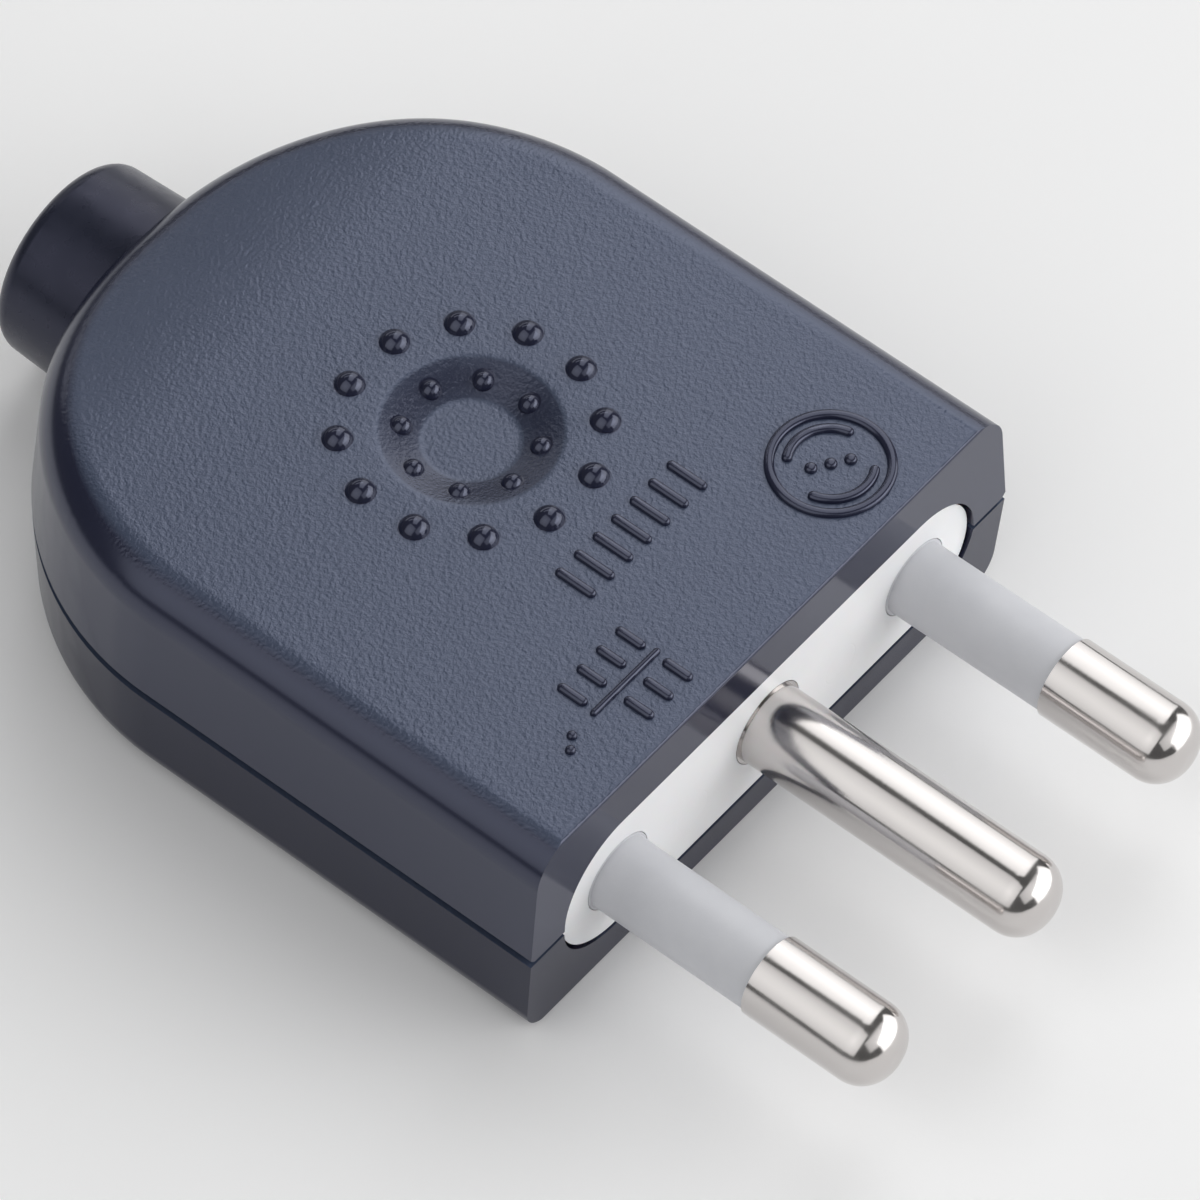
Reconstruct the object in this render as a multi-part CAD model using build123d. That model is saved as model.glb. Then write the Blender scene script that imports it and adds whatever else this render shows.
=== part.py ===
from build123d import *
import os
from math import asin, cos, degrees, radians, sin, sqrt

# Straight three pin mains plug, rewirable, lying flat on its bottom cover.
# Millimetres. +Z up, the pins point to -Y, the cable leaves to +Y.
# The origin is on the earth pin's axis, in the plane of the mating face.

# Pins, with the standard's sizes
pin_diameter = 5.0
pin_pitch = 13.0
pin_length = 19.0
earth_pin_lead = 0.4
tip_round = 2.1
sleeve_diameter = 4.66
sleeve_bore = 3.8
sleeve_reach = 10.3
earth_root_step = 0.2

# Housing, outside. Its width comes from the pin carrier that it holds
body_length = 46.55
rear_arc_depth = 18.8
rear_flat = 2.5
top_height = 8.5
top_slope = 0.095
top_edge_round = 2.7
rear_fall_start = 35.0
rear_fall_radius = 37.0
joint_chamfer = 0.3
bottom_depth = 7.7
bottom_slope = 0.028
bottom_round = 2.4
top_front_lean = 0.2
bottom_front_lean = 0.46
front_edge_round = 0.25
least_round = 0.3

# Housing, walls and the joint between the covers
wall = 2.0
front_wall = 2.2
tray_side_gap = 1.3
groove_height = 0.35
groove_depth = 0.45
tongue_thickness = 0.9
tongue_height = 1.0
tongue_root = 1.6
tongue_clearance = 0.15
tongue_end_gap = 1.0

# Finger dish and its dots, on the top cover
dish_y = 21.7
dish_radius = 5.25
dish_floor_radius = 2.8
dish_depth = 1.0
dish_edge_round = 1.0
outer_dots = 12
outer_dot_ring = 7.43
outer_dot_phase = 15.0
outer_dot_radius = 0.92
outer_dot_height = 0.65
inner_dots = 8
inner_dot_ring = 3.94
inner_dot_phase = 30.0
inner_dot_radius = 0.64
inner_dot_height = 0.45

# Pin carrier in the front opening
opening_radius = 4.95
carrier_clearance = 0.2
carrier_recess = 0.35
flange_overlap = 0.5
flange_thickness = 1.5
flange_gap = 0.1
tray_floor = 1.1
tray_wall = 1.0
tray_end_gap = 1.0
block_clearance = 0.1
pin_fit = 0.05
retaining_rib = 1.2

# Terminals
block_width = 6.8
block_length = 8.6
block_height = 6.8
block_chamfer = 0.4
wire_hole = 3.4
wire_hole_end = 1.2
terminal_thread = 3.5
terminal_head = 5.0
terminal_head_height = 1.5
terminal_lift = 0.6
head_chamfer = 0.3
plate_thickness = 0.8
plate_chamfer = 0.2
plate_side_gap = 0.2
thread_gap = 0.05

# Screw that holds the covers together, with its nut
screw_diameter = 3.0
screw_hole = 3.3
head_diameter = 5.6
head_height = 2.0
head_recess = 3.0
head_side_gap = 0.3
boss_wall = 1.0
boss_gap = 0.1
nut_across_flats = 5.5
nut_thickness = 2.4
nut_seat = 1.5
nut_gap = 0.1
screw_end_gap = 0.6
slot_width = 0.9
slot_depth = 0.9

# Cord clamp
clamp_y = 33.5
clamp_width = 7.0
clamp_thickness = 1.9
clamp_screw_gap = 0.2
clamp_end = 2.9
clamp_end_round = 2.3
clamp_hole_gap = 0.2
pillar_diameter = 5.6
pillar_top = -1.0
clamp_screw_diameter = 2.9
clamp_head_diameter = 5.2
clamp_head_height = 1.7
clamp_screw_depth = 4.0
saddle_rib = 1.2
saddle_drop = 1.0
saddle_spacing = 4.4

# Cable collar
cord_diameter = 8.0
cord_clearance = 0.2
collar_z = -0.4
collar_root_radius = 6.43
collar_end_radius = 6.17
collar_reach = 5.45
collar_rim_round = 1.1
collar_mouth_round = 0.8
collar_seat = 1.4
collar_fit = 0.1
neck_radius = 5.3
neck_length = 1.4
key_width = 15.0
key_height = 10.0
key_thickness = 1.5
key_round = 1.5

# How far a cutter passes a face, and a length that counts as none
past = 1.0
tiny = 0.001
on_base = (Align.CENTER, Align.CENTER, Align.MIN)

tray_half_width = pin_pitch + block_width / 2 + block_clearance + tray_wall
half_width = tray_half_width + tray_side_gap + wall
block_front = front_wall + flange_gap + flange_thickness + block_clearance
block_rear = block_front + block_length
flange_front = front_wall + flange_gap
flange_rear = flange_front + flange_thickness
shell_rear_seat = body_length - collar_seat
collar_end = body_length + collar_reach
neck_front = shell_rear_seat - neck_length
key_front = neck_front - key_thickness
inner_top = top_height - wall
inner_floor = wall - bottom_depth
cord_way_radius = cord_diameter / 2 + cord_clearance
clamp_screw_span = 2 * (cord_way_radius + clamp_thickness + clamp_screw_gap) + clamp_head_diameter
tray_bottom = -block_height / 2 - block_clearance - tray_floor
pin_places = {"neutral": -pin_pitch, "earth": 0.0, "live": pin_pitch}


def plan_face(half, rear, corner_x, corner_y, z):
    # Straight flanks, a short straight rear, and quarter ellipses for the rear corners
    arc_y = rear - corner_y
    arc_x = half - corner_x
    edges = [
        Line((-half, -past), (half, -past)),
        Line((half, -past), (half, arc_y)),
        EllipticalCenterArc((arc_x, arc_y), corner_x, corner_y, 0, arc_size=90),
        Line((arc_x, rear), (-arc_x, rear)),
        EllipticalCenterArc((-arc_x, arc_y), corner_x, corner_y, 90, arc_size=90),
        Line((-half, arc_y), (-half, -past)),
    ]
    return Pos(0, 0, z) * make_face(edges)


def base_plan(inset, z, draft=0.0):
    # The plan at the joint between the covers, moved inward all round
    total = inset + draft
    corner_x = half_width - rear_flat / 2 - total
    corner_y = rear_arc_depth - total
    return plan_face(half_width - total, body_length - total, corner_x, corner_y, z)


def cut_front(form, front, lean, height, edge_round):
    # Plane front face that leans back away from the joint, with a small round where it meets the
    # top or the bottom
    far = body_length + past
    outline = Polyline((front, 0), (front + lean, height), (far, height), (far, 0), close=True)
    side = make_face(outline)
    if edge_round > 0:
        corner = side.vertices().group_by(Axis.X)[1][0]
        side = fillet(corner, edge_round)
    turned = Plane.YZ * side
    return form & extrude(turned, half_width + past, both=True)


def top_profile(height, radius):
    # Side view of the top: level, then falling away to the cable end along a large arc
    end = body_length + past
    turn = degrees(asin((end - rear_fall_start) / radius))
    fall = CenterArc((rear_fall_start, height - radius), radius, 90, -turn)
    level = Line((-past, height), (rear_fall_start, height))
    down = Polyline(fall @ 1, (end, 0), (-past, 0), (-past, height))
    return make_face([level, fall, down])


def top_form(inset, front, lean=0.0, edge_round=0.0, lip=0.0):
    # Upper half: drafted walls with a small chamfer at the joint, the falling top, and a round
    # edge where they meet
    height = top_height - inset
    upper = height + past
    sections = [base_plan(inset, lip), base_plan(inset, upper, top_slope * upper)]
    if lip > 0:
        sections.insert(0, base_plan(inset + lip, 0))
    walls = loft(sections, ruled=True)
    profile = Plane.YZ * top_profile(height, rear_fall_radius - inset)
    form = walls & extrude(profile, half_width + past, both=True)
    lid = form.faces().filter_by(lambda face: face.normal_at(face.center()).Z > 0.5)
    rim = lid.edges().filter_by(lambda edge: not on_line_across(edge, -past))
    rim = rim.filter_by(lambda edge: not on_line_across(edge, rear_fall_start))
    form = fillet(rim, max(top_edge_round - inset, least_round))
    return cut_front(form, front, lean, height, edge_round)


def on_line_across(edge, y):
    return abs((edge @ 0).Y - y) + abs((edge @ 1).Y - y) < tiny


def bottom_form(inset, front, lean=0.0, edge_round=0.0):
    # Lower half: drafted walls and a round bottom edge
    depth = bottom_depth - inset
    sections = [base_plan(inset, -depth, bottom_slope * depth), base_plan(inset, 0)]
    walls = loft(sections, ruled=True)
    floor = walls.faces().sort_by(Axis.Z)[0]
    rim = floor.edges().filter_by(lambda edge: not on_line_across(edge, -past))
    form = fillet(rim, max(bottom_round - inset, least_round))
    return cut_front(form, front, lean, -depth, edge_round)


def along_y(radius, y0, y1, x=0.0, z=0.0):
    return Pos(x, y0, z) * Rot(-90, 0, 0) * Cylinder(radius, y1 - y0, align=on_base)


def along_z(radius, z0, z1, x=0.0, y=0.0):
    return Pos(x, y, z0) * Cylinder(radius, z1 - z0, align=on_base)


def block(x0, x1, y0, y1, z0, z1):
    return Pos((x0 + x1) / 2, (y0 + y1) / 2, (z0 + z1) / 2) * Box(x1 - x0, y1 - y0, z1 - z0)


def stadium(radius, y0, y1):
    # A bar with round ends, centred on the outer pins
    ends = [along_y(radius, y0, y1, x) for x in (-pin_pitch, pin_pitch)]
    return block(-pin_pitch, pin_pitch, y0, y1, -radius, radius) + ends


def slotted_head(radius, z0, z1, x, y):
    # A cheese head with its driving slot in the upper face
    head = along_z(radius, z0, z1, x, y)
    head = chamfer(head.edges().filter_by(GeomType.CIRCLE).sort_by(Axis.Z)[-1], head_chamfer)
    reach = radius + past
    slot = block(x - reach, x + reach, y - slot_width / 2, y + slot_width / 2, z1 - slot_depth, z1 + past)
    return head - slot


def cable_way():
    # What both covers leave open at the rear for the collar: seat, neck hole and key pocket
    seat = along_y(collar_root_radius + collar_fit, shell_rear_seat, body_length + past, 0, collar_z)
    neck = along_y(neck_radius + collar_fit, neck_front - past, shell_rear_seat + past, 0, collar_z)
    pocket_half = key_width / 2 + collar_fit
    pocket_rise = key_height / 2 + collar_fit
    pocket = block(-pocket_half, pocket_half, key_front - collar_fit, neck_front,
                   collar_z - pocket_rise, collar_z + pocket_rise)
    return seat + neck + pocket


def cavity(form):
    # The hollow of a cover, with a straight inner wall at the collar
    stop = block(-half_width, half_width, key_front, body_length + past,
                 -bottom_depth - past, top_height + past)
    return form(wall, front_wall) - stop


def carrier_stops(form, side_top, side_bottom):
    # Ribs on the flanks that keep the carrier's flange against the front wall
    ribs = []
    inside = form(wall / 2, front_wall)
    y0 = flange_rear + flange_gap
    for side in (-1, 1):
        x0 = side * (tray_half_width + flange_gap)
        x1 = side * (half_width - wall / 2)
        ribs.append(block(min(x0, x1), max(x0, x1), y0, y0 + retaining_rib, side_bottom, side_top) & inside)
    return ribs


def boss_radius():
    return max(head_diameter / 2 + head_side_gap, nut_across_flats / sqrt(3)) + boss_wall


def nut_zone():
    z0 = nut_seat
    return z0, z0 + nut_thickness + nut_gap


def dished(form):
    # The finger dish: a shallow cone with a flat floor, with both of its edges rounded over
    floor_z = top_height - dish_depth
    cone = Cone(dish_floor_radius, dish_radius, dish_depth, align=on_base)
    form -= Pos(0, dish_y, floor_z) * cone
    circles = form.edges().filter_by(GeomType.CIRCLE)
    circles = circles.filter_by(lambda edge: abs(edge.arc_center.Y - dish_y) < tiny)
    return fillet(circles, dish_edge_round)


def make_top_cover():
    cover = dished(top_form(0, 0, top_front_lean, front_edge_round, joint_chamfer)) - cavity(top_form)
    ribs = carrier_stops(top_form, top_height, tongue_height + tongue_clearance)
    boss = along_z(boss_radius(), boss_gap, inner_top + wall / 2, 0, dish_y)
    cover = cover + ribs + boss
    slot_z0, slot_z1 = nut_zone()
    flats = nut_across_flats + 2 * nut_gap
    cover -= block(-flats / 2, flats / 2, dish_y - nut_across_flats / sqrt(3) - nut_gap,
                   dish_y + boss_radius() + past, slot_z0, slot_z1)
    cover -= along_z(screw_hole / 2, -past, slot_z1 + screw_end_gap, 0, dish_y)
    cover -= stadium(opening_radius, -past, front_wall + past)
    cover -= cable_way()
    for index in range(outer_dots):
        angle = radians(outer_dot_phase + 360.0 * index / outer_dots)
        spot = (outer_dot_ring * cos(angle), dish_y + outer_dot_ring * sin(angle))
        height = top_height + outer_dot_height - outer_dot_radius
        cover += Pos(spot[0], spot[1], height) * Sphere(outer_dot_radius)
    slope = dish_depth * (dish_radius - inner_dot_ring) / (dish_radius - dish_floor_radius)
    for index in range(inner_dots):
        angle = radians(inner_dot_phase + 360.0 * index / inner_dots)
        spot = (inner_dot_ring * cos(angle), dish_y + inner_dot_ring * sin(angle))
        height = top_height - slope + inner_dot_height - inner_dot_radius
        cover += Pos(spot[0], spot[1], height) * Sphere(inner_dot_radius)
    return cover


def make_bottom_cover():
    cover = bottom_form(0, 0, bottom_front_lean, front_edge_round) - cavity(bottom_form)
    # Shadow groove round the outer edge of the rim
    rim = extrude(base_plan(-past, -groove_height), groove_height + past)
    kept = extrude(base_plan(groove_depth, -groove_height - past), groove_height + 3 * past)
    rim -= kept - block(-half_width, half_width, -2 * past, groove_depth, -2 * past, 2 * past)
    cover -= rim
    # Tongue that centres the top cover, left out at the carrier and at the collar
    tongue_out = wall + tongue_clearance
    tongue_in = tongue_out + tongue_thickness
    tongue = extrude(base_plan(tongue_out, 0), tongue_height)
    tongue += extrude(base_plan(wall / 2, -tongue_root), tongue_root)
    tongue -= extrude(base_plan(tongue_in, -tongue_root - past), tongue_root + tongue_height + 2 * past)
    tongue_front = flange_rear + flange_gap + retaining_rib + tongue_end_gap
    tongue -= block(-half_width, half_width, -2 * past, tongue_front, -bottom_depth, top_height)
    tongue_rear = key_front - collar_fit - tongue_end_gap
    tongue -= block(-half_width, half_width, tongue_rear, body_length + past, -bottom_depth, top_height)
    cover += tongue
    cover += carrier_stops(bottom_form, -tongue_root, -bottom_depth)
    # Boss for the housing screw
    cover += along_z(boss_radius(), inner_floor - wall / 2, -boss_gap, 0, dish_y)
    cover -= along_z(screw_hole / 2, -bottom_depth - past, past, 0, dish_y)
    recess_radius = head_diameter / 2 + head_side_gap
    cover -= along_z(recess_radius, -bottom_depth - past, head_recess - bottom_depth, 0, dish_y)
    # Pillars and saddle for the cord clamp
    for side in (-1, 1):
        x = side * clamp_screw_span / 2
        cover += along_z(pillar_diameter / 2, inner_floor - wall / 2, pillar_top, x, clamp_y)
        cover -= along_z(clamp_screw_diameter / 2 + thread_gap, pillar_top - clamp_screw_depth, past,
                         x, clamp_y)
    for side in (-1, 1):
        y = clamp_y + side * saddle_spacing / 2
        rib = block(-clamp_screw_span / 2, clamp_screw_span / 2, y - saddle_rib / 2, y + saddle_rib / 2,
                    inner_floor - wall / 2, pillar_top - saddle_drop)
        cover += rib - along_y(cord_diameter / 2, y - past, y + past, 0, collar_z)
    cover -= stadium(opening_radius, -past, front_wall + past)
    cover -= cable_way()
    return cover


def make_pin_carrier():
    plate = stadium(opening_radius - carrier_clearance, carrier_recess, flange_rear)
    plate += stadium(opening_radius + flange_overlap, flange_front, flange_rear)
    tray_rear = block_rear + tray_end_gap
    floor_top = tray_bottom + tray_floor
    tray = block(-tray_half_width, tray_half_width, flange_rear, tray_rear, tray_bottom, floor_top)
    wall_top = block_height / 2
    for x in (-tray_half_width, tray_half_width - tray_wall):
        tray += block(x, x + tray_wall, flange_rear, tray_rear, tray_bottom, wall_top)
    rib = pin_pitch - block_width - 2 * block_clearance
    for x in (-pin_pitch / 2, pin_pitch / 2):
        partition = block(x - rib / 2, x + rib / 2, flange_rear, tray_rear, tray_bottom, wall_top)
        partition -= block(x - rib / 2 + tray_wall, x + rib / 2 - tray_wall, flange_rear + tray_wall,
                           tray_rear - tray_wall, floor_top, wall_top + past)
        tray += partition
    carrier = plate + tray
    for name, x in pin_places.items():
        step = earth_root_step if name == "earth" else 0
        carrier -= along_y(pin_diameter / 2 + step + pin_fit, -past, flange_rear + past, x)
    return carrier


def make_pin(name):
    # One turned and milled piece: round pin, neck and square terminal block
    x = pin_places[name]
    radius = pin_diameter / 2
    length = pin_length + (earth_pin_lead if name == "earth" else 0)
    if name == "earth":
        root = along_y(radius + earth_root_step, carrier_recess, block_front, x)
        rod = along_y(radius, -length, carrier_recess, x) + root
    else:
        neck = along_y(sleeve_bore / 2, -sleeve_reach, block_front, x)
        rod = along_y(radius, -length, -sleeve_reach, x) + neck
    tip = rod.edges().filter_by(GeomType.CIRCLE).sort_by(Axis.Y)[0]
    rod = fillet(tip, tip_round)
    half = block_width / 2
    rise = block_height / 2
    body = block(x - half, x + half, block_front, block_rear, -rise, rise)
    body = chamfer(body.edges().filter_by(Axis.Y), block_chamfer)
    hole = wire_hole / 2
    body -= block(x - hole, x + hole, block_front + wire_hole_end, block_rear + past, -hole, hole)
    body -= along_z(terminal_thread / 2 + thread_gap, 0, rise + past, x, (block_front + block_rear) / 2)
    return rod + body


def make_sleeve(name):
    # Insulation moulded on the neck, with a thicker root inside the carrier
    x = pin_places[name]
    tube = along_y(sleeve_diameter / 2, -sleeve_reach, carrier_recess, x)
    tube += along_y(pin_diameter / 2, carrier_recess, flange_rear, x)
    return tube - along_y(sleeve_bore / 2, -sleeve_reach - past, flange_rear + past, x)


def make_terminal_screw(name):
    x = pin_places[name]
    y = (block_front + block_rear) / 2
    seat = block_height / 2 + terminal_lift
    shank = along_z(terminal_thread / 2, wire_hole / 2 - plate_thickness, seat, x, y)
    return shank + slotted_head(terminal_head / 2, seat, seat + terminal_head_height, x, y)


def make_clamp_plate(name):
    # Loose plate that the terminal screw presses on the wire
    x = pin_places[name]
    top = wire_hole / 2 - plate_thickness
    half = wire_hole / 2 - plate_side_gap
    y0 = block_front + wire_hole_end + plate_side_gap
    plate = block(x - half, x + half, y0, block_rear - plate_side_gap, top - plate_thickness, top)
    return chamfer(plate.edges().filter_by(Axis.Y).group_by(Axis.Z)[0], plate_chamfer)


def make_housing_screw():
    head_top = head_recess - bottom_depth
    head_low = head_top - head_height
    end = nut_zone()[1] + screw_end_gap / 2
    shank = along_z(screw_diameter / 2, head_top, end, 0, dish_y)
    head = slotted_head(head_diameter / 2, -head_top, -head_low, 0, -dish_y)
    return shank + Rot(180, 0, 0) * head


def make_housing_nut():
    z0 = nut_zone()[0]
    hexagon = RegularPolygon(nut_across_flats / 2, 6, major_radius=False)
    body = Pos(0, dish_y, z0) * Rot(0, 0, 30) * extrude(hexagon, nut_thickness)
    return body - along_z(screw_diameter / 2 + thread_gap, z0 - past, z0 + nut_thickness + past, 0, dish_y)


def make_cord_clamp():
    # Flat ends on the pillars and a bridge over the cord
    half = clamp_screw_span / 2 + clamp_end
    y0 = clamp_y - clamp_width / 2
    y1 = clamp_y + clamp_width / 2
    bar = block(-half, half, y0, y1, pillar_top, pillar_top + clamp_thickness)
    arch = along_y(cord_way_radius + clamp_thickness, y0, y1, 0, collar_z)
    arch -= block(-half, half, y0 - past, y1 + past, -bottom_depth, pillar_top)
    bar = bar + arch - along_y(cord_way_radius, y0 - past, y1 + past, 0, collar_z)
    for side in (-1, 1):
        bar -= along_z(clamp_screw_diameter / 2 + clamp_hole_gap, pillar_top - past,
                       pillar_top + clamp_thickness + past, side * clamp_screw_span / 2, clamp_y)
    ends = bar.edges().filter_by(Axis.Z).filter_by(lambda e: abs(abs(e.center().X) - half) < tiny)
    return fillet(ends, clamp_end_round)


def make_clamp_screw(side):
    x = side * clamp_screw_span / 2
    seat = pillar_top + clamp_thickness
    end = pillar_top - clamp_screw_depth + screw_end_gap
    shank = along_z(clamp_screw_diameter / 2, end, seat, x, clamp_y)
    return shank + slotted_head(clamp_head_diameter / 2, seat, seat + clamp_head_height, x, clamp_y)


def make_cable_collar():
    # Barrel with a round rim outside the covers, neck in the wall and square key inside
    barrel_front = shell_rear_seat + collar_fit
    length = collar_end - barrel_front
    barrel = Cone(collar_root_radius, collar_end_radius, length, align=on_base)
    barrel = Pos(0, barrel_front, collar_z) * Rot(-90, 0, 0) * barrel
    rim = barrel.edges().filter_by(GeomType.CIRCLE).sort_by(Axis.Y)[-1]
    barrel = fillet(rim, collar_rim_round)
    neck = along_y(neck_radius, neck_front - collar_fit, barrel_front, 0, collar_z)
    key = block(-key_width / 2, key_width / 2, key_front, neck_front - collar_fit,
                collar_z - key_height / 2, collar_z + key_height / 2)
    key = fillet(key.edges().filter_by(Axis.Y), key_round)
    collar = barrel + neck + key - along_y(cord_way_radius, key_front - past, collar_end + past, 0, collar_z)
    ends = collar.edges().filter_by(GeomType.CIRCLE).group_by(Axis.Y)[-1]
    return fillet(ends.sort_by(SortBy.RADIUS)[0], collar_mouth_round)


parts = {
    "top_cover": make_top_cover(),
    "bottom_cover": make_bottom_cover(),
    "pin_carrier": make_pin_carrier(),
    "housing_screw": make_housing_screw(),
    "housing_nut": make_housing_nut(),
    "cord_clamp": make_cord_clamp(),
    "cord_clamp_screw_left": make_clamp_screw(-1),
    "cord_clamp_screw_right": make_clamp_screw(1),
    "cable_collar": make_cable_collar(),
}
for place in pin_places:
    parts[place + "_pin"] = make_pin(place)
    parts[place + "_terminal_screw"] = make_terminal_screw(place)
    parts[place + "_clamp_plate"] = make_clamp_plate(place)
for place in ("live", "neutral"):
    parts[place + "_pin_sleeve"] = make_sleeve(place)

os.makedirs("parts", exist_ok=True)
for name, shape in parts.items():
    export_step(shape, "parts/" + name + ".step")
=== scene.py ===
from math import atan2, cos, degrees, pi, radians, sin

import bmesh
import bpy
from mathutils import Matrix, Vector


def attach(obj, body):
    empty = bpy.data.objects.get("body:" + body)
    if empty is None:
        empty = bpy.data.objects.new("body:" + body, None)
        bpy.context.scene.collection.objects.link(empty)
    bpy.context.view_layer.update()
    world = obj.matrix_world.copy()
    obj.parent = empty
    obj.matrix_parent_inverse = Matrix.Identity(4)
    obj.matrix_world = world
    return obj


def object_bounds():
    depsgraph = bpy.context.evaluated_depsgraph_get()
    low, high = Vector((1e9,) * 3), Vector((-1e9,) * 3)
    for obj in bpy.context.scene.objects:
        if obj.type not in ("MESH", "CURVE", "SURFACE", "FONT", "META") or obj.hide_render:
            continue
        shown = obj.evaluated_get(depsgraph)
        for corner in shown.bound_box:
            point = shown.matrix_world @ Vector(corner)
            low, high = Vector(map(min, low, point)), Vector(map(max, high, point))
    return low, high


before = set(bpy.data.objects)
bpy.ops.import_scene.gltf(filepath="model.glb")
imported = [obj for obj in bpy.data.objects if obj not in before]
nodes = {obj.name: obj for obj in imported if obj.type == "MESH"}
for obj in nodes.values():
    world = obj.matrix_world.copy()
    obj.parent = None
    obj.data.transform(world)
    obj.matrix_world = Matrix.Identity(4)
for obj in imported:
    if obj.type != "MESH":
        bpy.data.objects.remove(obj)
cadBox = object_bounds()
mm = 0.001
print("frame loaded:", len(nodes), "nodes")


# Camera, at the angle and distance of the photograph
view = {
    "aim": (0.487, 12.71, 0.0),  # mm, the point at the centre of the picture
    "azimuth": -51.908,
    "elevation": 53.81,
    "roll": 1.712,
    "distance": 541.95,  # mm
    "lens": 292.575,  # mm
    "sensor": 36,  # mm
    "farthest": 10,  # m, the end of what the camera sees
}


def makeCamera():
    turn = radians(view["azimuth"])
    rise = radians(view["elevation"])
    back = Vector((sin(turn) * cos(rise), -cos(turn) * cos(rise), sin(rise)))
    right = Vector((0, 0, 1)).cross(back).normalized()
    up = back.cross(right)
    place = Vector(view["aim"]) * mm + back * view["distance"] * mm
    level = Matrix((right, up, back)).transposed().to_4x4()
    roll = Matrix.Rotation(radians(view["roll"]), 4, "Z")
    camera = bpy.data.objects.new("camera", bpy.data.cameras.new("camera"))
    camera.data.lens = view["lens"]
    camera.data.sensor_width = view["sensor"]
    camera.data.clip_end = view["farthest"]
    camera.matrix_world = Matrix.Translation(place) @ level @ roll
    bpy.context.scene.collection.objects.link(camera)
    bpy.context.scene.camera = camera


makeCamera()
print("camera placed")


# Colours and nodes
smooth = {"interpolation_type": "SMOOTHSTEP"}
colours = {"data_type": "RGBA"}


def linear(hexColour):
    # sRGB to linear
    parts = [int(hexColour[i:i + 2], 16) / 255 for i in (1, 3, 5)]
    return [c / 12.92 if c <= 0.04045 else ((c + 0.055) / 1.055) ** 2.4 for c in parts] + [1.0]


def addNode(material, kind, settings, inlets):
    # Settings are the node's own; an inlet takes a value, a node or one outlet of a node
    tree = material.node_tree
    node = tree.nodes.new(kind)
    for name, value in settings.items():
        setattr(node, name, value)
    for name, value in inlets.items():
        if isinstance(value, bpy.types.Node):
            value = value.outputs[0]
        if isinstance(value, bpy.types.NodeSocket):
            tree.links.new(value, node.inputs[name])
        else:
            node.inputs[name].default_value = value
    return node


def newMaterial(name):
    material = bpy.data.materials.new(name)
    material.use_nodes = True
    material.node_tree.nodes.clear()
    coords = addNode(material, "ShaderNodeTexCoord", {}, {})
    return material, coords.outputs["Object"]


def finishMaterial(material, inlets):
    shader = addNode(material, "ShaderNodeBsdfPrincipled", {}, inlets)
    addNode(material, "ShaderNodeOutputMaterial", {}, {"Surface": shader})
    return material


def makePattern(material, place, look):
    # Crests size mm apart, and farther along the axes that are stretched
    scale = [1 / (look["size"] * mm * k) for k in look.get("stretch", (1, 1, 1))]
    mapped = addNode(material, "ShaderNodeMapping", {}, {"Vector": place, "Scale": scale})
    return addNode(material, "ShaderNodeTexNoise", {},
                   {"Vector": mapped, "Scale": 1.0, "Detail": look.get("detail", 2.0)})


def makeRelief(material, place, look, below=None):
    # A pattern that stands depth mm high, on the relief that is below it
    inlets = {"Height": makePattern(material, place, look)}
    inlets["Distance"] = look["depth"] * mm
    inlets["Strength"] = look["strength"]
    if below is not None:
        inlets["Normal"] = below
    return addNode(material, "ShaderNodeBump", {}, inlets)


def makeClouds(material, place, shades, look):
    # A colour that drifts between two shades
    drift = makePattern(material, place, look)
    first, second = [linear(shade) for shade in shades]
    mixed = addNode(material, "ShaderNodeMix", colours, {0: drift, 6: first, 7: second})
    return mixed.outputs[2]


def makeHaze(material, place, look):
    # A roughness that drifts between two values
    return addNode(material, "ShaderNodeMapRange", smooth, {
        "Value": makePattern(material, place, look),
        "From Min": look["between"][0], "From Max": look["between"][1],
        "To Min": look["rough"][0], "To Max": look["rough"][1],
    })


# The finger dish on the top cover, with its two rings of dots, in mm
dish = {
    "centre": 21.7,  # along Y
    "reach": 6.3,  # radius of the hollow with its rounded edge
    "edge": 0.6,  # the grain fades out over this width
    "above": (5.0, 6.0),  # dish and dots lie above these heights
    "rings": [
        {"count": 12, "ring": 7.43, "phase": 15.0, "dot": 0.9},
        {"count": 8, "ring": 3.94, "phase": 30.0, "dot": 0.63},
    ],
    "dotEdge": (-0.04, 0.06),  # the polish ends between these, about a dot's radius
}
polyamide = {
    # The lighter shades are a painted sheen for the level faces, the darker ones a painted shade for walls,
    # shoulders, front, dots and signs
    "paintedSheen": ("#3B4355", "#41495B"),
    "paintedShade": ("#1C1E30", "#202234"),
    "bloom": "#DAE1FC",  # tint of the reflections
    "ior": 1.53,
    "level": 0.8,  # strength of the reflections on the top cover and the signs
    "levelBelow": 0.25,  # and on the bottom cover
    "satin": 0.21,  # roughness
    "polished": 0.12,
    "sign": 0.16,
    "broad": (0.8, 0.98),  # the grain comes in between these, by how level a face is
    # The lighter colour here is a painted sheen
    "sheenMask": (0.9, 0.985),  # and so does the lighter colour
    "front": (-0.9, -0.8),  # the front's polish ends between these, by how far it faces forward
    "grain": {"size": 0.24, "detail": 3.0, "depth": 0.055, "strength": 0.9},  # a little coarse, to show
    "middle": 0.5,  # the grain rises and sinks about this height of its pattern
    "waves": {"size": 3.5, "depth": 0.02, "strength": 0.25},
    "clouds": {"size": 7.0, "detail": 3.0},
    "signSkin": {"size": 0.5, "depth": 0.01, "strength": 0.4},
}


def reachFromDish(material, place):
    # The way from the dish's centre in plan, and its length
    centre = (0, -dish["centre"] * mm, 0)
    way = addNode(material, "ShaderNodeVectorMath", {"operation": "MULTIPLY_ADD"},
                  {0: place, 1: (1, 1, 0), 2: centre})
    reach = addNode(material, "ShaderNodeVectorMath", {"operation": "LENGTH"}, {0: way})
    return way, reach.outputs["Value"]


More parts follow.
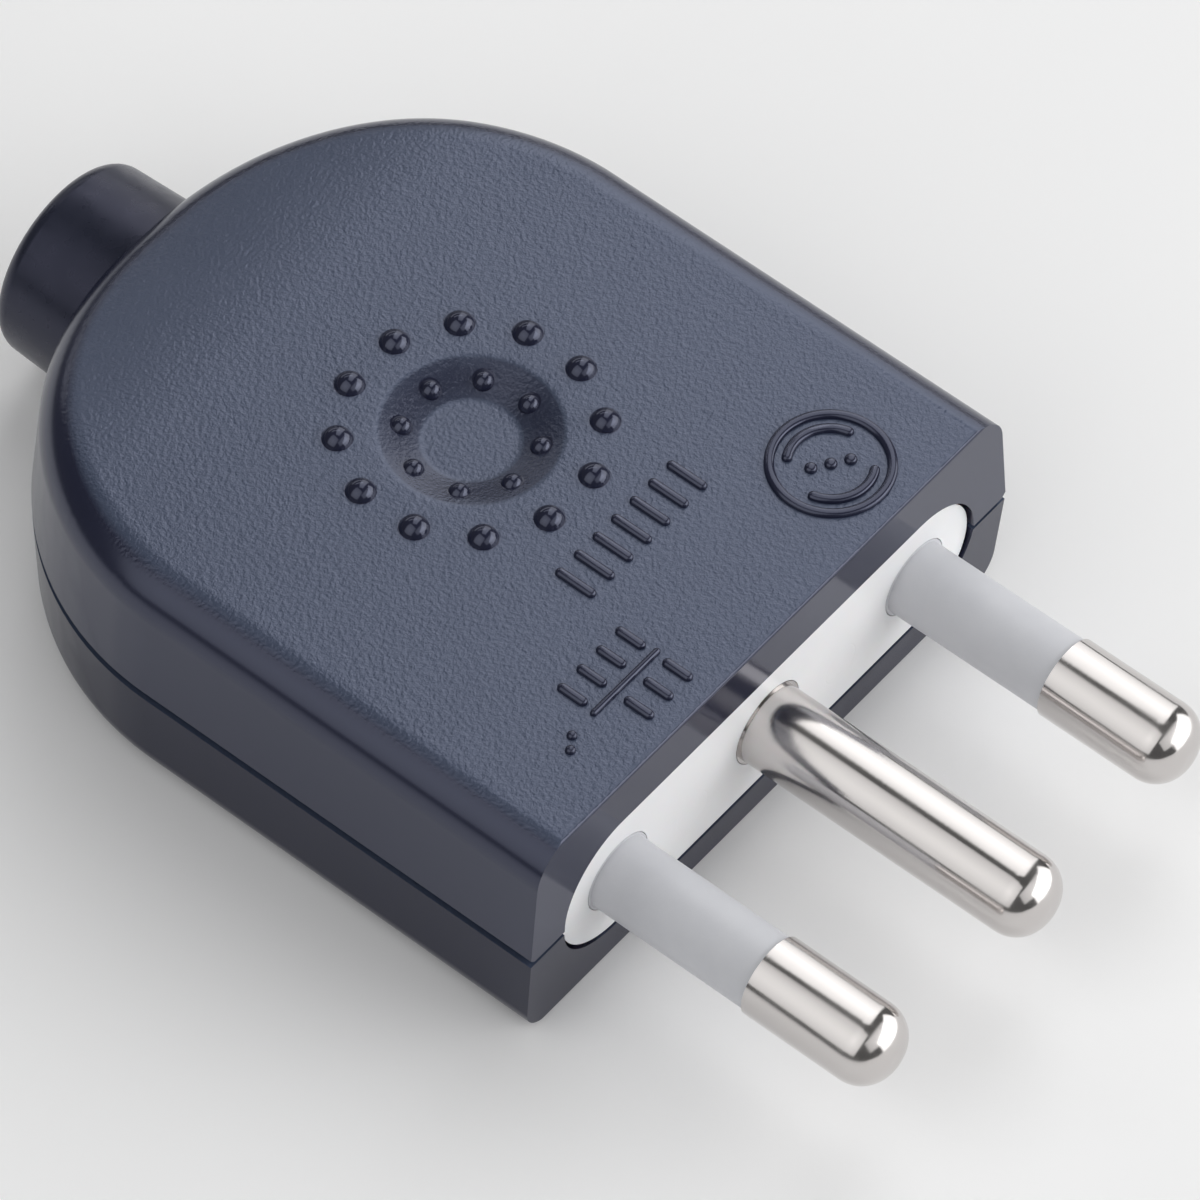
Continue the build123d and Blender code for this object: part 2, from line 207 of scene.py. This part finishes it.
def dotsOfRing(material, way, reach, ring):
    # 1 on the dots of one ring and 0 between them
    step = 2 * pi / ring["count"]
    axes = addNode(material, "ShaderNodeSeparateXYZ", {}, {0: way})
    heading = addNode(material, "ShaderNodeMath", {"operation": "ARCTAN2"},
                      {0: axes.outputs["Y"], 1: axes.outputs["X"]})
    turned = addNode(material, "ShaderNodeMath", {"operation": "SUBTRACT"},
                     {0: heading, 1: radians(ring["phase"])})
    nearest = addNode(material, "ShaderNodeMath", {"operation": "WRAP"},
                      {0: turned, 1: step / 2, 2: -step / 2})
    across = addNode(material, "ShaderNodeMath", {"operation": "MULTIPLY"},
                     {0: nearest, 1: ring["ring"] * mm})
    along = addNode(material, "ShaderNodeMath", {"operation": "SUBTRACT"}, {0: reach, 1: ring["ring"] * mm})
    toDot = addNode(material, "ShaderNodeCombineXYZ", {}, {"X": across, "Y": along})
    away = addNode(material, "ShaderNodeVectorMath", {"operation": "LENGTH"}, {0: toDot})
    inside, outside = [(ring["dot"] + edge) * mm for edge in dish["dotEdge"]]
    return addNode(material, "ShaderNodeMapRange", smooth, {
        "Value": away.outputs["Value"], "From Min": inside, "From Max": outside, "To Min": 1.0, "To Max": 0.0,
    })


def dishMasks(material, place):
    # The dots, and the hollow, each 1 where it is and 0 elsewhere
    way, reach = reachFromDish(material, place)
    outer, inner = [dotsOfRing(material, way, reach, ring) for ring in dish["rings"]]
    dots = addNode(material, "ShaderNodeMath", {"operation": "MAXIMUM"}, {0: outer, 1: inner})
    hollow = addNode(material, "ShaderNodeMapRange", smooth, {
        "Value": reach, "From Min": (dish["reach"] - dish["edge"]) * mm, "From Max": dish["reach"] * mm,
        "To Min": 1.0, "To Max": 0.0,
    })
    axes = addNode(material, "ShaderNodeSeparateXYZ", {}, {0: place})
    low, high = dish["above"]
    above = addNode(material, "ShaderNodeMapRange", smooth,
                    {"Value": axes.outputs["Z"], "From Min": low * mm, "From Max": high * mm})
    return [addNode(material, "ShaderNodeMath", {"operation": "MULTIPLY"}, {0: mask, 1: above})
            for mask in (dots, hollow)]


# Polyamide, injection moulded in a spark-eroded tool: a fine orange-peel grain on the broad
# faces, which breaks the light up, satin walls and shoulders where the tool was only stone-finished,
# and polished dots and front face; the level faces are painted lighter as a painted sheen, and the
# walls, shoulders, front and dots darker as a painted shade
def mouldedPolyamide(name, level):
    material, place = newMaterial(name)
    coords = addNode(material, "ShaderNodeTexCoord", {}, {})
    facing = addNode(material, "ShaderNodeSeparateXYZ", {}, {0: coords.outputs["Normal"]})
    flatness = addNode(material, "ShaderNodeMath", {"operation": "ABSOLUTE"}, {0: facing.outputs["Z"]})
    dots, hollow = dishMasks(material, place)
    bare = addNode(material, "ShaderNodeMath", {"operation": "SUBTRACT"}, {0: 1.0, 1: dots})
    # The second mask is a painted sheen: the more level a face, the lighter its colour
    broad, sheenMask = [addNode(material, "ShaderNodeMapRange", smooth, {
        "Value": flatness, "From Min": polyamide[mask][0], "From Max": polyamide[mask][1],
    }) for mask in ("broad", "sheenMask")]
    broad = addNode(material, "ShaderNodeMath", {"operation": "MAXIMUM"}, {0: broad, 1: hollow})
    broad, sheenMask = [addNode(material, "ShaderNodeMath", {"operation": "MULTIPLY"}, {0: mask, 1: bare})
                    for mask in (broad, sheenMask)]
    front = addNode(material, "ShaderNodeMapRange", smooth, {
        "Value": facing.outputs["Y"], "From Min": polyamide["front"][0], "From Max": polyamide["front"][1],
        "To Min": 1.0, "To Max": 0.0,
    })
    polished = addNode(material, "ShaderNodeMath", {"operation": "MAXIMUM"}, {0: dots, 1: front})

    grain = polyamide["grain"]
    height = addNode(material, "ShaderNodeMath", {"operation": "SUBTRACT"},
                     {0: makePattern(material, place, grain), 1: polyamide["middle"]})
    height = addNode(material, "ShaderNodeMath", {"operation": "MULTIPLY"}, {0: height, 1: broad})
    normal = addNode(material, "ShaderNodeBump", {},
                     {"Height": height, "Distance": grain["depth"] * mm, "Strength": grain["strength"]})
    normal = makeRelief(material, place, polyamide["waves"], normal)
    # Painted sheen and shade: level faces take the lighter colour, the rest the darker one
    paintedShade, paintedSheen = [makeClouds(material, place, polyamide[part], polyamide["clouds"])
                       for part in ("paintedShade", "paintedSheen")]
    colour = addNode(material, "ShaderNodeMix", colours, {0: sheenMask, 6: paintedShade, 7: paintedSheen})
    rough = addNode(material, "ShaderNodeMix", {},
                    {0: polished, 2: polyamide["satin"], 3: polyamide["polished"]})
    return finishMaterial(material, {
        "Base Color": colour.outputs[2], "Roughness": rough, "Normal": normal, "IOR": polyamide["ior"],
        "Specular Tint": linear(polyamide["bloom"]), "Specular IOR Level": level,
    })


# The same polyamide where the tool was engraved and polished, for the raised signs
def polishedPolyamide():
    material, place = newMaterial("polishedPolyamide")
    return finishMaterial(material, {
        # The signs take the darker polyamide colour, a painted shade
        "Base Color": makeClouds(material, place, polyamide["paintedShade"], polyamide["clouds"]),
        "Normal": makeRelief(material, place, polyamide["signSkin"]),
        "Roughness": polyamide["sign"], "IOR": polyamide["ior"],
        "Specular Tint": linear(polyamide["bloom"]), "Specular IOR Level": polyamide["level"],
    })


# Soft PVC, moulded smooth: near black, with a broad soft sheen and slow waves in the surface
vinyl = {
    "shades": ("#1D202B", "#232632"),
    "bloom": "#DADBFF",
    "ior": 1.52,
    "clouds": {"size": 5.0},
    "waves": {"size": 2.2, "depth": 0.03, "strength": 0.3},
    "haze": {"size": 1.2, "between": (0.3, 0.7), "rough": (0.26, 0.34)},
}


def softVinyl():
    material, place = newMaterial("softVinyl")
    return finishMaterial(material, {
        "Base Color": makeClouds(material, place, vinyl["shades"], vinyl["clouds"]),
        "Normal": makeRelief(material, place, vinyl["waves"]),
        "Roughness": makeHaze(material, place, vinyl["haze"]),
        "IOR": vinyl["ior"], "Specular Tint": linear(vinyl["bloom"]),
    })


# Urea resin, pressed in a polished mould: light grey-white, a little translucent at the edges,
# with the faint rings that the ejector pins leave between the contacts
urea = {
    "shades": ("#E9E9EB", "#EEEEEF"),
    "ior": 1.55,
    "rough": 0.33,
    "glow": 0.08,  # share of the light that goes under the skin
    "glowDepth": 1.0,  # mm
    "clouds": {"size": 2.4, "detail": 4.0},
    "skin": {"size": 0.5, "depth": 0.01, "strength": 0.3},
    "ejector": {"x": 6.5, "z": -1.4, "radius": 1.3, "line": 0.08, "depth": 0.012, "strength": 0.6},  # mm
}


def pressedUrea():
    material, place = newMaterial("pressedUrea")
    ejector = urea["ejector"]
    centre = (ejector["x"] * mm, 0, ejector["z"] * mm)
    axes = addNode(material, "ShaderNodeSeparateXYZ", {}, {0: place})
    side = addNode(material, "ShaderNodeMath", {"operation": "ABSOLUTE"}, {0: axes.outputs["X"]})
    spot = addNode(material, "ShaderNodeCombineXYZ", {}, {"X": side, "Z": axes.outputs["Z"]})
    reach = addNode(material, "ShaderNodeVectorMath", {"operation": "DISTANCE"}, {0: spot, 1: centre})
    away = addNode(material, "ShaderNodeMath", {"operation": "SUBTRACT"},
                   {0: reach.outputs["Value"], 1: ejector["radius"] * mm})
    away = addNode(material, "ShaderNodeMath", {"operation": "ABSOLUTE"}, {0: away})
    ring = addNode(material, "ShaderNodeMapRange", smooth,
                   {"Value": away, "From Min": 0.0, "From Max": ejector["line"] * mm})
    normal = addNode(material, "ShaderNodeBump", {},
                     {"Height": ring, "Distance": ejector["depth"] * mm, "Strength": ejector["strength"]})
    return finishMaterial(material, {
        "Base Color": makeClouds(material, place, urea["shades"], urea["clouds"]),
        "Normal": makeRelief(material, place, urea["skin"], normal),
        "Roughness": urea["rough"], "IOR": urea["ior"],
        "Subsurface Weight": urea["glow"], "Subsurface Scale": urea["glowDepth"] * mm,
    })


# Glass-filled polyamide moulded on the pins: matt light grey with a fine dry grain
filled = {
    "shades": ("#C8C9CE", "#D0D1D5"),
    "ior": 1.53,
    "rough": 0.5,
    "clouds": {"size": 1.4, "detail": 4.0},
    "grain": {"size": 0.14, "detail": 3.0, "depth": 0.01, "strength": 0.6},
}


def filledPolyamide():
    material, place = newMaterial("filledPolyamide")
    return finishMaterial(material, {
        "Base Color": makeClouds(material, place, filled["shades"], filled["clouds"]),
        "Normal": makeRelief(material, place, filled["grain"]),
        "Roughness": filled["rough"], "IOR": filled["ior"],
    })


# Nickel over turned brass: warm silver, sharp reflections, with the lathe's fine rings just
# left under the plating and a slight haze where the pins rub in a socket
nickel = {
    "shade": "#CFCBC9",
    "rings": {"size": 0.12, "stretch": (40, 1, 40), "depth": 0.003, "strength": 0.4},
    "waves": {"size": 1.3, "stretch": (1, 2.5, 1), "depth": 0.014, "strength": 0.35},
    "haze": {"size": 0.9, "detail": 4.0, "stretch": (1, 6, 1), "between": (0.35, 0.75), "rough": (0.12, 0.2)},
}


def nickelPlate():
    material, place = newMaterial("nickelPlate")
    rings = makeRelief(material, place, nickel["rings"])
    return finishMaterial(material, {
        "Base Color": linear(nickel["shade"]), "Metallic": 1.0,
        "Normal": makeRelief(material, place, nickel["waves"], rings),
        "Roughness": makeHaze(material, place, nickel["haze"]),
    })


# Zinc-plated steel, passivated blue or yellow: clouded, with short handling scratches
zinc = {
    "blue": ("#B4BAC2", "#C6CACD"),
    "yellow": ("#BFB48C", "#CFC8AC"),
    "clouds": {"size": 1.5, "detail": 4.0},
    "scratches": {"size": 0.05, "stretch": (14, 1, 6), "depth": 0.004, "strength": 0.5},
    "haze": {"size": 0.6, "detail": 4.0, "between": (0.3, 0.7), "rough": (0.22, 0.38)},
}


def zincPlate(name, shades):
    material, place = newMaterial(name)
    return finishMaterial(material, {
        "Base Color": makeClouds(material, place, shades, zinc["clouds"]), "Metallic": 1.0,
        "Normal": makeRelief(material, place, zinc["scratches"]),
        "Roughness": makeHaze(material, place, zinc["haze"]),
    })


# Bare turned brass, for the nut: yellow, with a dull oxide in patches
brass = {
    "shades": ("#B08D4E", "#D2B170"),
    "oxide": {"size": 1.1, "detail": 4.0, "between": (0.3, 0.7), "rough": (0.4, 0.24)},
    "rings": {"size": 0.06, "stretch": (12, 12, 1), "depth": 0.004, "strength": 0.5},
}


def bareBrass():
    material, place = newMaterial("bareBrass")
    return finishMaterial(material, {
        "Base Color": makeClouds(material, place, brass["shades"], brass["oxide"]), "Metallic": 1.0,
        "Normal": makeRelief(material, place, brass["rings"]),
        "Roughness": makeHaze(material, place, brass["oxide"]),
    })


# Grey polyamide, for the inner clamp: a dull moulded skin, slightly milky at thin edges
milky = {
    "shades": ("#C4C6C9", "#CED0D2"),
    "ior": 1.53,
    "rough": 0.42,
    "glow": 0.15,
    "glowDepth": 1.5,  # mm
    "clouds": {"size": 3.0, "detail": 3.0},
    "skin": {"size": 0.3, "detail": 3.0, "depth": 0.015, "strength": 0.5},
}


def milkyPolyamide():
    material, place = newMaterial("milkyPolyamide")
    return finishMaterial(material, {
        "Base Color": makeClouds(material, place, milky["shades"], milky["clouds"]),
        "Normal": makeRelief(material, place, milky["skin"]),
        "Roughness": milky["rough"], "IOR": milky["ior"],
        "Subsurface Weight": milky["glow"], "Subsurface Scale": milky["glowDepth"] * mm,
    })


# Matt paper roll, evenly white, for the floor
paper = {
    "shades": ("#F9F9F9", "#FDFDFD"),
    "rough": 0.95,
    "clouds": {"size": 30.0},
}


def paperRoll():
    material, place = newMaterial("paperRoll")
    return finishMaterial(material, {
        "Base Color": makeClouds(material, place, paper["shades"], paper["clouds"]),
        "Roughness": paper["rough"],
    })


finishes = {
    "topCover": mouldedPolyamide("mouldedPolyamide", polyamide["level"]),
    "bottomCover": mouldedPolyamide("mouldedPolyamideDull", polyamide["levelBelow"]),
    "sign": polishedPolyamide(),
    "collar": softVinyl(),
    "carrier": pressedUrea(),
    "sleeve": filledPolyamide(),
    "pin": nickelPlate(),
    "steel": zincPlate("zincPlateBlue", zinc["blue"]),
    "yellowSteel": zincPlate("zincPlateYellow", zinc["yellow"]),
    "brass": bareBrass(),
    "clamp": milkyPolyamide(),
    "floor": paperRoll(),
}
print("materials made")


# The CAD nodes; those that aren't named here are steel
dressing = {
    "top_cover": "topCover",
    "bottom_cover": "bottomCover",
    "pin_carrier": "carrier",
    "cable_collar": "collar",
    "cord_clamp": "clamp",
    "housing_nut": "brass",
    "live_pin": "pin",
    "neutral_pin": "pin",
    "earth_pin": "pin",
    "live_pin_sleeve": "sleeve",
    "neutral_pin_sleeve": "sleeve",
    "live_terminal_screw": "yellowSteel",
    "neutral_terminal_screw": "yellowSteel",
    "earth_terminal_screw": "yellowSteel",
}
nodeShading = {"weld": 0.0005, "sharp": 24}  # mm, degrees


def dressNodes():
    for name, node in nodes.items():
        node.data.materials.clear()
        node.data.materials.append(finishes[dressing.get(name, "steel")])
        node.data.polygons.foreach_set("use_smooth", [True] * len(node.data.polygons))
        weld = node.modifiers.new("weld", "WELD")
        weld.merge_threshold = nodeShading["weld"] * mm
        split = node.modifiers.new("split", "EDGE_SPLIT")
        split.split_angle = radians(nodeShading["sharp"])
        level = node.modifiers.new("level", "WEIGHTED_NORMAL")
        level.keep_sharp = True


dressNodes()
print("nodes dressed")


# Raised signs on the top cover: a ring round two arcs and three dots, rows of plain bars with a
# rule between two of them, and two marks
signs = {
    "face": 8.5,  # mm, height of the top cover
    "sink": 0.05,
    "rise": 0.28,
    "edge": 0.22,
    "stroke": 0.6,
    "ring": {"centre": (10.95, 5.05), "radius": 3.42},
    "arcs": [{"radius": 2.45, "start": 195, "turn": 105}, {"radius": 2.45, "start": 15, "turn": 105}],
    "points": [(-0.95, 0.65), (0.0, 0.0), (0.95, -0.65)],
    "pointRadius": 0.372,
    "bars": [(x, 10.6, 2.75) for x in (-4.4, -2.8, -1.2, 0.4, 2.0, 3.6, 5.2)]
    + [(x, 5.95, 2.0) for x in (-10.3, -8.65, -7.0, -5.35)]
    + [(x, 2.65, 2.0) for x in (-8.65, -7.0, -5.35)],
    "rule": {"from": -10.5, "to": -5.1, "at": 4.3, "width": 0.4},
    "marks": [(-12.4, 4.25), (-13.2, 3.7)],
    "weld": 0.0002,
    "sharp": 40,  # degrees
    "steps": {"edge": 4, "end": 8, "disc": 20, "arc": 24, "ring": 72},
}


def arcPoints(centre, radius, start, turn, steps):
    angles = [radians(start + turn * i / steps) for i in range(steps + 1)]
    return [(centre[0] + radius * cos(a), centre[1] + radius * sin(a)) for a in angles]


def discOutline(centre, radius):
    steps = signs["steps"]["disc"]
    return arcPoints(centre, radius, 0, 360 - 360 / steps, steps - 1)


def barOutline(start, end, width):
    # Round-ended bar between two points
    heading = degrees(atan2(end[1] - start[1], end[0] - start[0]))
    steps = signs["steps"]["end"]
    return (arcPoints(end, width / 2, heading - 90, 180, steps)
            + arcPoints(start, width / 2, heading + 90, 180, steps))


def arcOutline(centre, radius, width, start, turn):
    # Thick arc with round ends
    steps = signs["steps"]
    outer = arcPoints(centre, radius + width / 2, start, turn, steps["arc"])
    inner = arcPoints(centre, radius - width / 2, start + turn, -turn, steps["arc"])
    last, first = [arcPoints(centre, radius, angle, 0, 1)[0] for angle in (start + turn, start)]
    lastEnd = arcPoints(last, width / 2, start + turn, 180, steps["end"])[1:-1]
    firstEnd = arcPoints(first, width / 2, start + 180, 180, steps["end"])[1:-1]
    return outer + lastEnd + inner + firstEnd


def raiseOutline(bm, outline):
    # A flat outline drawn up from just under the face, with its upper edge rounded over
    low = signs["face"] - signs["sink"]
    verts = [bm.verts.new((x * mm, y * mm, low * mm)) for x, y in outline]
    face = bm.faces.new(verts)
    bmesh.ops.recalc_face_normals(bm, faces=[face])
    if face.normal.z < 0:
        face.normal_flip()
    base = bmesh.ops.duplicate(bm, geom=[face])["geom"]
    bmesh.ops.reverse_faces(bm, faces=[g for g in base if isinstance(g, bmesh.types.BMFace)])
    raised = bmesh.ops.extrude_face_region(bm, geom=[face])["geom"]
    top = [g for g in raised if isinstance(g, bmesh.types.BMFace)][0]
    lift = (signs["sink"] + signs["rise"]) * mm
    bmesh.ops.translate(bm, vec=(0, 0, lift), verts=list(top.verts))
    bmesh.ops.bevel(bm, geom=list(top.edges), offset=signs["edge"] * mm, segments=signs["steps"]["edge"],
                    profile=0.5, affect="EDGES", material=-1)


def newPiece(name, bm, finish):
    bmesh.ops.remove_doubles(bm, verts=bm.verts, dist=signs["weld"] * mm)
    bmesh.ops.recalc_face_normals(bm, faces=bm.faces)
    mesh = bpy.data.meshes.new(name)
    bm.to_mesh(mesh)
    bm.free()
    piece = bpy.data.objects.new(name, mesh)
    bpy.context.scene.collection.objects.link(piece)
    mesh.materials.append(finishes[finish])
    mesh.polygons.foreach_set("use_smooth", [True] * len(mesh.polygons))
    split = piece.modifiers.new("split", "EDGE_SPLIT")
    split.split_angle = radians(signs["sharp"])
    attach(piece, "root")


def makeSigns():
    bm = bmesh.new()
    stroke = signs["stroke"]
    centre = signs["ring"]["centre"]
    for arc in signs["arcs"]:
        raiseOutline(bm, arcOutline(centre, arc["radius"], stroke, arc["start"], arc["turn"]))
    for dx, dy in signs["points"]:
        raiseOutline(bm, discOutline((centre[0] + dx, centre[1] + dy), signs["pointRadius"]))
    for x, y, length in signs["bars"]:
        half = (length - stroke) / 2
        raiseOutline(bm, barOutline((x, y - half), (x, y + half), stroke))
    rule = signs["rule"]
    raiseOutline(bm, barOutline((rule["from"], rule["at"]), (rule["to"], rule["at"]), rule["width"]))
    for spot in signs["marks"]:
        raiseOutline(bm, discOutline(spot, stroke / 2))
    newPiece("raised_signs", bm, "sign")


def makeSignRing():
    # The ring is one profile spun round
    bm = bmesh.new()
    ring = signs["ring"]
    half = signs["stroke"] / 2
    edge = signs["edge"]
    steps = signs["steps"]
    low = signs["face"] - signs["sink"]
    high = signs["face"] + signs["rise"]
    inner = arcPoints((edge - half, high - edge), edge, 180, -90, steps["edge"])
    outer = arcPoints((half - edge, high - edge), edge, 90, -90, steps["edge"])
    profile = [(-half, low)] + inner + outer + [(half, low)]
    centre = (ring["centre"][0] * mm, ring["centre"][1] * mm, 0)
    verts = [bm.verts.new((centre[0] + (ring["radius"] + x) * mm, centre[1], z * mm)) for x, z in profile]
    edges = [bm.edges.new(pair) for pair in zip(verts, verts[1:] + verts[:1])]
    bmesh.ops.spin(bm, geom=verts + edges, cent=centre, axis=(0, 0, 1), angle=2 * pi, steps=steps["ring"],
                   use_merge=True)
    newPiece("raised_ring", bm, "sign")


makeSigns()
makeSignRing()
print("signs made")


# Floor and light; sizes and distances of the softboxes are in m
studio = {
    "floor": 1.5,  # m, half its width
    "aim": (0, 15, 0),  # mm, the point that the softboxes face
    "spread": 125,  # degrees, unless a softbox has its own
    "world": 0.11,
}
softboxes = {
    "rightSoftbox": {"towards": (0.67, 0.26, 0.7), "distance": 0.6, "size": (0.33, 0.96), "radiance": 0.74},
    "leftSoftbox": {"towards": (-0.69, 0.1, 0.72), "distance": 0.6, "size": (0.7, 0.84), "radiance": 0.53},
    "frontSoftbox": {"towards": (0.6, -0.75, 0.34), "distance": 0.6, "size": (0.95, 0.5), "radiance": 1.2},
    "frontHigh": {"towards": (0.1, -0.76, 0.65), "distance": 0.6, "size": (0.9, 0.4), "radiance": 0.42},
    "rearStrip": {"towards": (0.465, 0.577, 0.671), "distance": 0.75, "size": (0.6, 0.055), "radiance": 2.2,
                  "spread": 180},
    "rearLow": {"towards": (0.465, 0.823, 0.327), "distance": 0.75, "size": (0.6, 0.11), "radiance": 1.2,
                "spread": 180},
}


def makeFloor():
    bm = bmesh.new()
    bmesh.ops.create_grid(bm, x_segments=1, y_segments=1, size=studio["floor"])
    bmesh.ops.translate(bm, vec=(0, 0, cadBox[0][2]), verts=bm.verts)
    mesh = bpy.data.meshes.new("floor")
    bm.to_mesh(mesh)
    bm.free()
    floor = bpy.data.objects.new("floor", mesh)
    bpy.context.scene.collection.objects.link(floor)
    mesh.materials.append(finishes["floor"])


def makeSoftbox(name, box):
    # A rectangle turned to the object; its energy follows from how bright its face is
    back = Vector(box["towards"]).normalized()
    width, height = box["size"]
    light = bpy.data.lights.new(name, "AREA")
    light.shape = "RECTANGLE"
    light.size = width
    light.size_y = height
    light.energy = box["radiance"] * pi * width * height
    light.spread = radians(box.get("spread", studio["spread"]))
    lamp = bpy.data.objects.new(name, light)
    lamp.location = Vector(studio["aim"]) * mm + back * box["distance"]
    lamp.rotation_euler = back.to_track_quat("Z", "Y").to_euler()
    bpy.context.scene.collection.objects.link(lamp)


def makeWorld():
    world = bpy.data.worlds.new("studio")
    world.use_nodes = True
    background = world.node_tree.nodes["Background"]
    background.inputs["Color"].default_value = linear("#FFFFFF")
    background.inputs["Strength"].default_value = studio["world"]
    bpy.context.scene.world = world


makeFloor()
for name, box in softboxes.items():
    makeSoftbox(name, box)
makeWorld()
bpy.context.scene.view_settings.view_transform = "Standard"
print("stage lit")
